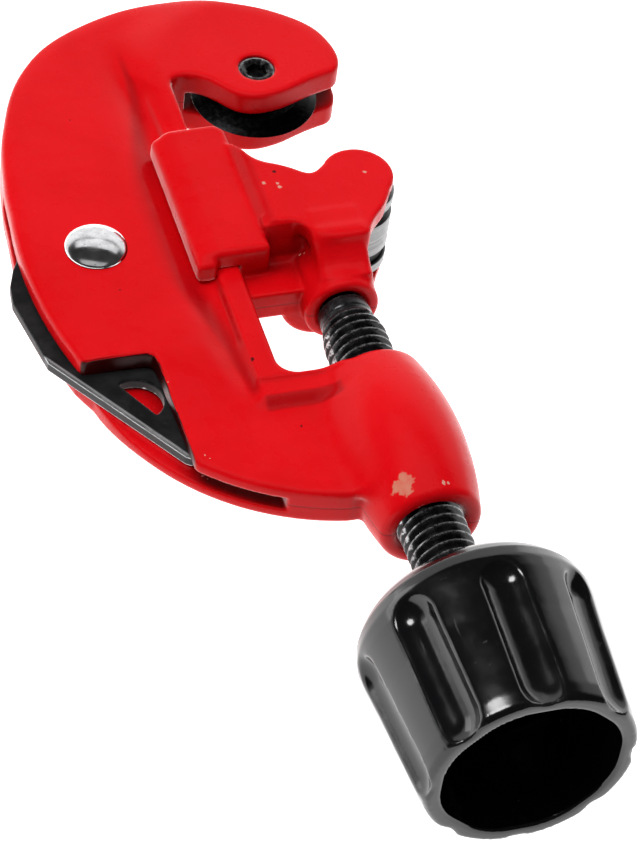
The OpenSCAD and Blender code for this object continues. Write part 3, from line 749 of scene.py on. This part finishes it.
# ---------------------------------------------------------------- node graphs
class Graph:
    """A node tree; each call adds a node and most return its output."""

    def __init__(self, tree):
        self.tree = tree
        self.coord = self.node("TexCoord").outputs

    def node(self, kind, inputs={}, **settings):
        n = self.tree.nodes.new("ShaderNode" + kind)
        for key, value in settings.items():
            setattr(n, key, value)
        for key, value in inputs.items():
            self.put(n.inputs[key], value)
        return n

    def put(self, socket, value):
        if isinstance(value, bpy.types.NodeSocket):
            self.tree.links.new(value, socket)
        else:
            socket.default_value = value

    def noise(self, scale, detail=4.0, rough=0.55, distortion=0.0, vector=None):
        return self.node("TexNoise", {
            "Vector": vector or self.coord["Object"], "Scale": scale, "Detail": detail,
            "Roughness": rough, "Distortion": distortion}).outputs["Fac"]

    def voronoi(self, scale, output="Distance"):
        inputs = {"Vector": self.coord["Object"], "Scale": scale}
        return self.node("TexVoronoi", inputs).outputs[output]

    def ramp(self, value, span, to=(0.0, 1.0)):
        """Smooth ramp of value over span, to the range `to`."""
        return self.node("MapRange", {
            "Value": value, "From Min": span[0], "From Max": span[1],
            "To Min": to[0], "To Max": to[1]}, interpolation_type="SMOOTHSTEP").outputs["Result"]

    def between(self, value, edge, other_edge):
        """1 inside a band whose two edges fade over the given spans."""
        return self.mul(self.ramp(value, span=edge), self.ramp(value, span=other_edge))

    def math(self, operation, a, b=0.0):
        return self.node("Math", {0: a, 1: b}, operation=operation).outputs[0]

    def add(self, a, b):
        return self.math("ADD", a, b)

    def sub(self, a, b):
        return self.math("SUBTRACT", a, b)

    def mul(self, a, b):
        return self.math("MULTIPLY", a, b)

    def max(self, a, b):
        return self.math("MAXIMUM", a, b)

    def abs(self, a):
        return self.math("ABSOLUTE", a)

    def mix(self, amount, under, over, strength=None):
        """Colour `over` laid on `under` by amount, times strength if given."""
        if strength is not None:
            amount = self.mul(amount, strength)
        a, b = ((*c, 1) if isinstance(c, tuple) else c for c in (under, over))
        inputs = {"Factor": amount, "A": a, "B": b}
        return self.node("Mix", inputs, data_type="RGBA").outputs["Result"]

    def stretch(self, x, y, z):
        inputs = {"Vector": self.coord["Object"], "Scale": (x, y, z)}
        return self.node("Mapping", inputs).outputs["Vector"]

    def split(self, vector):
        return self.node("SeparateXYZ", {0: vector}).outputs

    def spots(self, points, wobble):
        """Mask of spots at (x, y, radius) in mm, their edges broken up by a noise."""
        p = self.split(self.coord["Object"])
        out = None
        for x, y, r in points:
            dx = self.sub(p[0], x * MM)
            dy = self.sub(p[1], y * MM)
            d = self.math("SQRT", self.add(self.mul(dx, dx), self.mul(dy, dy)))
            d = self.add(d, self.mul(self.sub(wobble, 0.5), 2.6 * r * MM))
            spot = self.ramp(d, span=(1.05 * r * MM, 0.8 * r * MM))
            out = spot if out is None else self.max(out, spot)
        return out

    def bump(self, height, strength, distance, normal=None):
        inputs = {"Strength": strength, "Distance": distance, "Height": height}
        if normal is not None:
            inputs["Normal"] = normal
        return self.node("Bump", inputs).outputs["Normal"]

    def finish(self, base, rough, normal, metal=0.0, coat=0.0, coat_rough=0.08, spec=0.5,
               anisotropy=0.0):
        shader = self.node("BsdfPrincipled", {
            "Base Color": base, "Roughness": rough, "Metallic": metal,
            "Specular IOR Level": spec, "Coat Weight": coat, "Coat Roughness": coat_rough,
            "Anisotropic": anisotropy, "Normal": normal})
        self.node("OutputMaterial", {0: shader.outputs[0]})
        return shader


def new_material(name):
    m = bpy.data.materials.new(name)
    m.use_nodes = True
    m.node_tree.nodes.clear()
    return m, Graph(m.node_tree)


# ---------------------------------------------------------------- red enamel
# dark red laid on as painted shade, in creases and in the fold beside the carriage's channel
SHADE_RED = (0.34, 0.002, 0.004)
# (x, y, radius) in mm: pale chips (the first two, on the boss, are a painted glint), dark specks,
# and one pale painted highlight on the boss
CHIPS_AND_GLINT = [
    (1.2, -72.35, 0.30), (1.9, -72.4, 0.22), (-7.49, -11.83, 0.34), (-5.51, -12.20, 0.24),
    (-5.43, -12.98, 0.30), (8.01, -12.17, 0.30), (-4.16, -21.53, 0.22), (-3.70, -22.04, 0.14),
    (-28.41, -57.13, 0.20), (-27.88, -57.81, 0.12), (-30.13, -43.30, 0.10)]
SPECKS = [
    (-5.26, -9.72, 0.30), (-17.34, -41.90, 0.30), (-13.59, -54.48, 0.24),
    (-32.40, -24.68, 0.14), (-30.82, 11.98, 0.12)]
BOSS_HIGHLIGHT = [(-4.35, -70.9, 1.5)]


# painted shade on the wall of the notch
def notch_wall_shade(g, x, y, z, facing_up):
    side = g.ramp(x, span=(-0.0291, -0.0297))
    mask = g.mul(side, g.between(y, (-0.0367, -0.0371), (-0.0585, -0.0570)))
    above = g.ramp(z, span=(0.0009, 0.0013))
    return g.mul(mask, g.mul(above, g.ramp(facing_up, span=(0.75, 0.35))))


def valley_shade_mask(g, x_mm, y_mm, z, broad):
    """Painted shade in the valley beside the rail: its centre line and half width change along y.
    """
    centre = g.add(g.ramp(y_mm, span=(20, -8), to=(-19.6, -22.9)),
                   g.add(g.ramp(y_mm, span=(-20, -40), to=(0.0, 3.8)),
                         g.ramp(y_mm, span=(-40, -47), to=(0.0, 0.8))))
    width = g.add(g.ramp(y_mm, span=(22, -6), to=(0.8, 2.9)),
                  g.ramp(y_mm, span=(-20, -45), to=(0.0, -1.9)))
    offset = g.math("DIVIDE", g.abs(g.sub(x_mm, centre)), width)
    mask = g.mul(g.ramp(offset, span=(1.25, 0.1)), g.between(y_mm, (27, 22), (-48.5, -46.5)))
    low = g.ramp(z, span=(0.0047, 0.0043))
    return g.mul(mask, g.mul(low, g.ramp(broad, span=(0.2, 0.7), to=(0.42, 0.62))))


def red_enamel():
    m, g = new_material("red_enamel")
    broad = g.noise(scale=60, detail=3)
    fine = g.noise(scale=900, detail=5, rough=0.6)
    col = g.mix(g.ramp(broad, span=(0.3, 0.7)), (0.80, 0.0025, 0.006), (0.87, 0.004, 0.009))
    # painted highlight: sharp edges a little lighter; painted shade: creases and corners darker
    geo = g.node("NewGeometry").outputs
    edge = g.ramp(geo["Pointiness"], span=(0.50, 0.60))
    pit = g.ramp(geo["Pointiness"], span=(0.49, 0.40))
    col = g.mix(pit, col, SHADE_RED, strength=0.5)
    col = g.mix(edge, col, (0.95, 0.03, 0.025), strength=0.15)
    # small dark specks in a few of the cells
    distance = g.voronoi(scale=95)
    cell = g.node("SeparateColor", {0: g.voronoi(scale=95, output="Color")}).outputs[0]
    picked = g.math("GREATER_THAN", cell, 0.93)
    speck = g.mul(g.ramp(distance, span=(0.055, 0.03)), picked)
    col = g.mix(speck, col, (0.16, 0.006, 0.008))
    # parting line of the casting round the rim, at z = 0
    x, y, z = g.split(g.coord["Object"])
    line = g.ramp(g.abs(z), span=(0.00022, 0.00008))
    facing_up = g.split(geo["True Normal"])[2]
    line = g.mul(line, g.ramp(g.abs(facing_up), span=(0.35, 0.15)))
    col = g.mix(line, col, (0.22, 0.004, 0.006), strength=0.45)
    # painted shade: hollows that light hardly reaches are painted darker
    shade_occlusion = g.node("AmbientOcclusion", {"Distance": 0.006}, samples=6, only_local=True)
    hollow = g.ramp(shade_occlusion.outputs["AO"], span=(0.92, 0.35), to=(0.0, 0.85))
    col = g.mix(hollow, col, (0.16, 0.0012, 0.002))
    # painted shade: the wall of the notch, which lies in shadow over the blade, then the valley
    col = g.mix(notch_wall_shade(g, x, y, z, facing_up), col, (0.016, 0.001, 0.001),
                strength=0.97)
    x_mm, y_mm = g.mul(x, 1000.0), g.mul(y, 1000.0)
    col = g.mix(valley_shade_mask(g, x_mm, y_mm, z, broad), col, (0.30, 0.002, 0.004))
    # painted shade in the fold where the channel of the carriage meets the ear
    fold_shade = g.mul(g.between(x_mm, (-10.6, -9.6), (-7.4, -8.6)),
                 g.between(y_mm, (-1.0, -3.0), (-21, -18)))
    raised = g.mul(g.ramp(z, span=(0.0074, 0.0077)), 0.30)
    col = g.mix(g.mul(fold_shade, raised), col, SHADE_RED)
    # painted shade on the slope at the -Y end of the rib
    rib = g.mul(g.between(x, (-0.0178, -0.0170), (-0.0060, -0.0068)),
                g.between(y, (-0.0512, -0.0506), (-0.0484, -0.0490)))
    raised = g.mul(g.ramp(z, span=(0.0030, 0.0031)), 0.5)
    col = g.mix(g.mul(rib, raised), col, (0.30, 0.003, 0.005))
    # placed chips and specks on the +Z faces; painted sparkle highlights along the edges
    ragged = g.noise(scale=2300, detail=3, rough=0.6)
    up = g.ramp(facing_up, span=(0.5, 0.7))
    chip_and_sparkle = g.mul(g.spots(CHIPS_AND_GLINT, ragged), up)
    dark = g.mul(g.spots(SPECKS, ragged), up)
    edge_sparkle = g.mul(g.ramp(geo["Pointiness"], span=(0.535, 0.575)),
                 g.mul(g.ramp(g.noise(scale=1900, detail=3, rough=0.65), span=(0.66, 0.72)),
                       g.ramp(g.noise(scale=170, detail=2), span=(0.5, 0.62))))
    col = g.mix(dark, col, (0.09, 0.006, 0.007))
    chip_and_sparkle = g.max(chip_and_sparkle, g.mul(edge_sparkle, 0.6))
    # painted highlight: a pale blob on the boss, its edge broken up by a noise
    blotchy = g.noise(scale=650, detail=4, rough=0.6)
    painted_highlight = g.mul(g.spots(BOSS_HIGHLIGHT, blotchy), g.ramp(fine, span=(0.3, 0.6), to=(0.65, 1.0)))
    col = g.mix(g.mul(painted_highlight, up), col, (0.76, 0.25, 0.17))
    col = g.mix(chip_and_sparkle, col, (0.80, 0.36, 0.28))
    # relief: weighted orange peel and grain, less the marks; then a broad wave
    peel = g.noise(scale=420, detail=2, rough=0.5)
    relief = g.add(g.mul(peel, 0.7), g.mul(fine, 0.12))
    for mark, depth in ((speck, 0.9), (line, 0.8), (chip_and_sparkle, 0.5)):
        relief = g.sub(relief, g.mul(mark, depth))
    normal = g.bump(relief, strength=0.22, distance=0.00012)
    wave = g.noise(scale=110, detail=2, rough=0.5)
    normal = g.bump(wave, strength=0.35, distance=0.00022, normal=normal)
    rough = g.ramp(g.noise(scale=300), span=(0.3, 0.7), to=(0.24, 0.36))
    g.finish(col, rough, normal, coat=0.04, coat_rough=0.12, spec=0.10)
    return m


# ---------------------------------------------------------------- other materials
def black_oxide():
    """Blackened steel, worn bright along the edges."""
    m, g = new_material("black_oxide")
    mottle = g.noise(scale=700, detail=5, rough=0.65)
    wear = g.ramp(g.node("NewGeometry").outputs["Pointiness"], span=(0.515, 0.59))
    wear = g.mul(wear, g.ramp(g.noise(scale=1300, rough=0.7), span=(0.40, 0.58)))
    col = g.mix(g.ramp(mottle, span=(0.35, 0.7)), (0.006, 0.006, 0.007), (0.022, 0.022, 0.024))
    col = g.mix(wear, col, (0.42, 0.42, 0.43))
    rough = g.ramp(mottle, span=(0.3, 0.7), to=(0.16, 0.32))
    grain = g.noise(scale=1600, detail=3, rough=0.6)
    normal = g.bump(grain, strength=0.25, distance=0.00006)
    # metallic 0.55 where black, 1 where worn
    g.finish(col, rough, normal, metal=g.add(0.55, g.mul(wear, 0.45)))
    return m


def knob_plastic():
    """Glossy black with dust, scratches along Y and slightly paler edges."""
    m, g = new_material("knob_plastic")
    broad = g.noise(scale=120, rough=0.6)
    dust = g.mul(g.ramp(g.noise(scale=1500, rough=0.7), span=(0.62, 0.75)),
                 g.ramp(g.noise(scale=140, detail=3), span=(0.45, 0.65)))
    scratch = g.noise(scale=900, detail=2, rough=0.5, distortion=0.4,
                      vector=g.stretch(x=1.0, y=0.06, z=1.0))
    scratch = g.ramp(scratch, span=(0.68, 0.74))
    col = g.mix(broad, (0.0015, 0.0015, 0.0018), (0.004, 0.004, 0.0045))
    col = g.mix(dust, col, (0.11, 0.11, 0.11), strength=0.35)
    edge = g.ramp(g.node("NewGeometry").outputs["Pointiness"], span=(0.51, 0.58))
    col = g.mix(edge, col, (0.03, 0.03, 0.031), strength=0.25)
    # dust and scratches add up to 0.12 each to the roughness
    rough = g.add(g.ramp(g.noise(scale=260), span=(0.3, 0.7), to=(0.11, 0.19)),
                  g.mul(g.add(dust, scratch), 0.12))
    grain = g.noise(scale=1100, detail=3, rough=0.6)
    relief = g.sub(g.mul(grain, 0.5), g.mul(scratch, 0.35))
    normal = g.bump(relief, strength=0.16, distance=0.00006)
    wave = g.noise(scale=90, detail=2)
    normal = g.bump(wave, strength=0.25, distance=0.00025, normal=normal)
    g.finish(col, rough, normal)
    return m


def steel(name, dark, light, rough=(0.22, 0.38), groove=None):
    """Turned steel; groove is a band of |z| in mm, coloured near black."""
    m, g = new_material(name)
    turned = g.noise(scale=420, detail=3, rough=0.6, vector=g.stretch(x=0.08, y=0.08, z=6.0))
    fine = g.noise(scale=1500, rough=0.6)
    col = g.mix(g.ramp(turned, span=(0.3, 0.7)), dark, light)
    stain = g.ramp(g.noise(scale=240), span=(0.55, 0.8))
    col = g.mix(stain, col, tuple(0.35 * c for c in dark), strength=0.35)
    rough = g.ramp(fine, span=(0.3, 0.7), to=rough)
    if groove is not None:
        start, end = groove
        height = g.abs(g.split(g.coord["Object"])[2])
        band = g.between(height, (start * MM, (start + 0.2) * MM), ((end + 0.2) * MM, end * MM))
        col = g.mix(band, col, (0.008, 0.008, 0.009))
    relief = g.add(turned, g.mul(fine, 0.3))
    normal = g.bump(relief, strength=0.12, distance=0.00008)
    g.finish(col, rough, normal, metal=1.0, anisotropy=0.3)
    return m


def rivet_chrome():
    m, g = new_material("rivet_chrome")
    mottle = g.noise(scale=700, rough=0.6)
    col = g.mix(g.ramp(mottle, span=(0.3, 0.7)), (0.66, 0.66, 0.68), (0.86, 0.86, 0.87))
    pits = g.ramp(g.voronoi(scale=900), span=(0.16, 0.08))
    col = g.mix(pits, col, (0.25, 0.25, 0.26), strength=0.4)
    rough = g.ramp(g.noise(scale=500), span=(0.3, 0.7), to=(0.10, 0.20))
    relief = g.sub(g.noise(scale=260, detail=3), g.mul(pits, 0.5))
    normal = g.bump(relief, strength=0.10, distance=0.00012)
    g.finish(col, rough, normal, metal=1.0)
    return m


def blade_black():
    """Black finish; the two borders of the long slanting edge are worn bright."""
    m, g = new_material("blade_black")
    mottle = g.noise(scale=220, detail=5, rough=0.6)
    col = g.mix(g.ramp(mottle, span=(0.35, 0.7)), (0.006, 0.006, 0.007), (0.020, 0.019, 0.020))
    grime = g.ramp(g.noise(scale=900, rough=0.7), span=(0.55, 0.75))
    col = g.mix(grime, col, (0.05, 0.047, 0.045), strength=0.25)
    # the edge's outward direction in XY, and a point on it (m)
    out_x, out_y = -0.8248, -0.5654
    edge_x, edge_y = -0.0450, -0.0335
    geo = g.node("NewGeometry").outputs
    facing = g.split(geo["True Normal"])
    outward = g.add(g.mul(facing[0], out_x), g.mul(facing[1], out_y))
    face = g.ramp(outward, span=(0.2, 0.6))
    x, y, z = g.split(g.coord["Object"])
    distance = g.add(g.mul(g.sub(x, edge_x), out_x), g.mul(g.sub(y, edge_y), out_y))
    near = g.ramp(distance, span=(-0.0008, -0.0004))
    border = g.ramp(g.abs(z), span=(0.00052, 0.00072))
    broken = g.ramp(g.noise(scale=260, detail=3), span=(0.25, 0.5), to=(0.35, 1.0))
    line = g.mul(g.mul(near, border), broken)
    middle = g.mul(g.mul(near, face), 0.07)
    wear = g.ramp(geo["Pointiness"], span=(0.53, 0.60))
    patchy = g.ramp(g.noise(scale=400, detail=3), span=(0.4, 0.6), to=(0.15, 0.7))
    bright = g.max(g.max(line, middle), g.mul(wear, patchy))
    uneven = g.ramp(g.noise(scale=500, rough=0.7), span=(0.25, 0.5), to=(0.6, 1.0))
    bright = g.mul(bright, uneven)
    col = g.mix(bright, col, (0.62, 0.62, 0.63))
    rough = g.ramp(mottle, span=(0.3, 0.7), to=(0.30, 0.45))
    normal = g.bump(g.noise(scale=1200, rough=0.6), strength=0.2, distance=0.00006)
    g.finish(col, rough, normal, metal=g.mul(bright, 0.9), spec=0.13)
    return m


RED, OXIDE, PLASTIC = red_enamel(), black_oxide(), knob_plastic()
WHEEL_STEEL = steel("wheel_steel", dark=(0.005, 0.005, 0.0055), light=(0.016, 0.016, 0.017),
                    rough=(0.16, 0.3))
ROLLER_STEEL = steel("roller_steel", dark=(0.15, 0.153, 0.155), light=(0.24, 0.245, 0.247),
                     rough=(0.28, 0.42), groove=(3.15, 5.0))
PIN_STEEL = steel("pin_steel", dark=(0.40, 0.40, 0.41), light=(0.55, 0.55, 0.56))
CLIP_STEEL = steel("clip_steel", dark=(0.22, 0.22, 0.23), light=(0.34, 0.34, 0.35))
CHROME, BLADE_BLACK = rivet_chrome(), blade_black()


# ---------------------------------------------------------------- pieces
def place(o, material, rides, replaces):
    o.data.materials.append(material)
    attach(o, rides)
    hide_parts(*replaces)
    return o


body = net_object("c_frame", frame_field, low=(-48.6, -75.2, -10.6), high=(15.0, 37.4, 10.6),
                  cell=0.36)
place(body, RED, "frame", ["body_frame"])
body.visible_glossy = False

carriage = net_object("carriage_casting", carriage_field, low=(-21.9, -32.3, -10.6),
                      high=(13.6, 5.2, 10.6), cell=0.28)
place(carriage, RED, "slide", ["carriage"])

knob = net_object("knob_shell", knob_field, low=(-18, -118.2, -18), high=(18, -78.4, 18),
                  cell=0.36)
place(knob, PLASTIC, "screw", ["knob"])

blade = net_object("reamer_plate", blade_field, low=(-48.4, -58.0, -1.4),
                   high=(-24.2, -5.8, 1.4), cell=0.2, smoothing=0.3)
place(blade, BLADE_BLACK, "reamer", ["reamer_blade"])

screw = place(feed_screw(), OXIDE, "screw", ["feed_screw"])

wheel = lathe("wheel_disc", WHEEL, (0, WHEEL_Y, 0), segments=144, sharp=35)
place(wheel, WHEEL_STEEL, "wheel", ["cutter_wheel"])

for side, sign in (("left", -1), ("right", 1)):
    axis_at = (sign * ROLLER_X, ROLLER_Y, 0)
    roller = lathe("roller_turned_" + side, ROLLER, axis_at, segments=112, sharp=35)
    place(roller, ROLLER_STEEL, side + "_roller", ["roller_" + side])
    pin = lathe("roller_pin_turned_" + side, ROLLER_PIN, axis_at, segments=48, sharp=35)
    place(pin, PIN_STEEL, "slide", ["roller_pin_" + side])

place(split_ring(), CLIP_STEEL, "screw", ["screw_retaining_clip"])
place(wheel_screw(), OXIDE, "frame", ["wheel_screw"])

rivet = lathe("rivet_domes", RIVET_DOME + [(r, -z) for r, z in RIVET_DOME[::-1]],
              (PIVOT_X, PIVOT_Y, 0), segments=72)
place(rivet, CHROME, "frame", ["reamer_rivet"])


# ---------------------------------------------------------------- floor
FLOOR_Z, FLOOR_HALF = -0.0171, 6.0


def pale_floor():
    """Pale surface with a glow, brighter to the camera and in reflections."""
    m, g = new_material("pale_floor")
    grey = (0.82, 0.82, 0.82)
    col = g.mix(g.noise(scale=3, detail=2), grey, tuple(c * 1.01 for c in grey))
    normal = g.bump(g.noise(scale=40, detail=3), strength=0.02, distance=0.0002)
    shader = g.finish(col, 0.9, normal, spec=0.2)
    shader.inputs["Emission Color"].default_value = (1, 1, 1, 1)
    ray = g.node("LightPath").outputs
    seen = g.max(ray["Is Camera Ray"], ray["Is Glossy Ray"])
    base_glow, seen_glow = 0.45, 0.9
    glow = g.add(base_glow, g.mul(seen, seen_glow))
    g.put(shader.inputs["Emission Strength"], glow)
    return m


mesh = bpy.data.meshes.new("floor")
corners = [(x * FLOOR_HALF, y * FLOOR_HALF, FLOOR_Z)
           for x, y in ((-1, -1), (1, -1), (1, 1), (-1, 1))]
mesh.from_pydata(corners, [], [(0, 1, 2, 3)])
floor = bpy.data.objects.new("floor", mesh)
bpy.context.scene.collection.objects.link(floor)
mesh.materials.append(pale_floor())


# ---------------------------------------------------------------- lights
def area(name, at, target, width, power, height=None):
    light = bpy.data.lights.new(name, "AREA")
    light.shape = "RECTANGLE"
    light.size, light.size_y = width, height or width
    light.energy = power
    o = bpy.data.objects.new(name, light)
    o.location = at
    aim = Vector(target) - Vector(at)
    o.rotation_euler = aim.to_track_quat("-Z", "Y").to_euler()
    bpy.context.scene.collection.objects.link(o)
    return o


def receivers(name, objects):
    group = bpy.data.collections.new(name)
    for o in objects:
        group.objects.link(o)
    return group


def reflection_card(name, target, direction, width, height, radiance, group):
    """Light 0.9 m from the target, seen only as a reflection, by one group."""
    power = math.pi * width * height * radiance
    card = area(name, target + direction * 0.9, target, width, power, height)
    card.visible_diffuse = False
    card.light_linking.receiver_collection = group


CENTRE = (0, -0.035, 0)
top = area("top_fill", at=(-0.10, 0.05, 1.2), target=CENTRE, width=1.3, power=10.6)
top.visible_glossy = False
key = area("key", at=(-0.462, 0.0255, 0.858), target=CENTRE, width=0.24, power=2.4, height=0.28)
key.visible_glossy = False
# round glint for the knob, the feed screw and the wheel only
glint = area("glint", at=(-0.42, 0.02, 0.78), target=CENTRE, width=0.34, power=5.4)
glint.data.shape = "DISK"
dark_parts = receivers("glint_receivers", (knob, screw, wheel))
glint.light_linking.receiver_collection = dark_parts

# soft boxes that model the knob's sides: (name, direction, radiance, size)
for name, direction, radiance, size in (("left_box", (-0.76, 0.64, 0.10), 2.4, 0.48),
                                        ("right_box", (0.78, 0.62, 0.08), 1.0, 0.5)):
    reflection_card(name, Vector((0, -0.06, 0)), Vector(direction).normalized(),
                    size, size, radiance, dark_parts)

# bright card on the rivet's +Y side, dimmer one on the camera's side:
# (name, elevation in degrees from +Y, width, height, radiance)
rivet_only = receivers("rivet_receivers", [rivet])
for name, elevation, width, height, radiance in (("rivet_back", 54, 1.3, 0.30, 0.95),
                                                 ("rivet_front", 117, 1.1, 0.44, 0.42)):
    a = math.radians(elevation)
    direction = Vector((0.385 * math.cos(a), 0.923 * math.cos(a), math.sin(a)))
    reflection_card(name, Vector((PIVOT_X * MM, PIVOT_Y * MM, 0.0)), direction,
                    width, height, radiance, rivet_only)


# ---------------------------------------------------------------- world
def soft_world():
    """White band low on the +Y side; dark ceiling and dark camera side."""
    world = bpy.data.worlds.new("soft")
    bpy.context.scene.world = world
    world.use_nodes = True
    g = Graph(world.node_tree)
    view = g.node("VectorMath", {0: g.coord["Generated"]}, operation="NORMALIZE").outputs[0]
    x, y, z = g.split(view)
    # the band reaches highest at x = 0.26 and lower to either side
    aside = g.abs(g.sub(x, 0.26))
    low = g.ramp(g.add(z, g.mul(aside, 0.33)), span=(0.64, 0.76), to=(1.0, 0.0))
    gradient = g.ramp(z, span=(0.30, 0.74), to=(0.02, -0.015))
    behind = g.ramp(y, span=(0.05, 0.5))
    ambient = 0.04
    glow = g.add(g.mul(g.add(low, gradient), behind), ambient)
    grey = g.node("CombineColor", {0: glow, 1: glow, 2: glow}).outputs[0]
    background = world.node_tree.nodes["Background"]
    g.put(background.inputs["Color"], grey)
    background.inputs["Strength"].default_value = 1.0


soft_world()

# ---------------------------------------------------------------- camera
camera = bpy.data.cameras.new("camera")
camera.lens = 149.82
camera.sensor_width = 36
camera.clip_start, camera.clip_end = 0.01, 20
view = bpy.data.objects.new("camera", camera)
# rows of the pose: the camera's right, up and backward axes, then its place
view.matrix_world = Matrix((
    (0.95371, -0.28388, 0.09929, 0),
    (0.14306, 0.71864, 0.68051, 0),
    (-0.26454, -0.6348, 0.72598, 0),
    (-0.1412, -0.3671, 0.3613, 1))).transposed()
bpy.context.scene.collection.objects.link(view)
bpy.context.scene.camera = view
bpy.context.scene.view_settings.view_transform = "Standard"
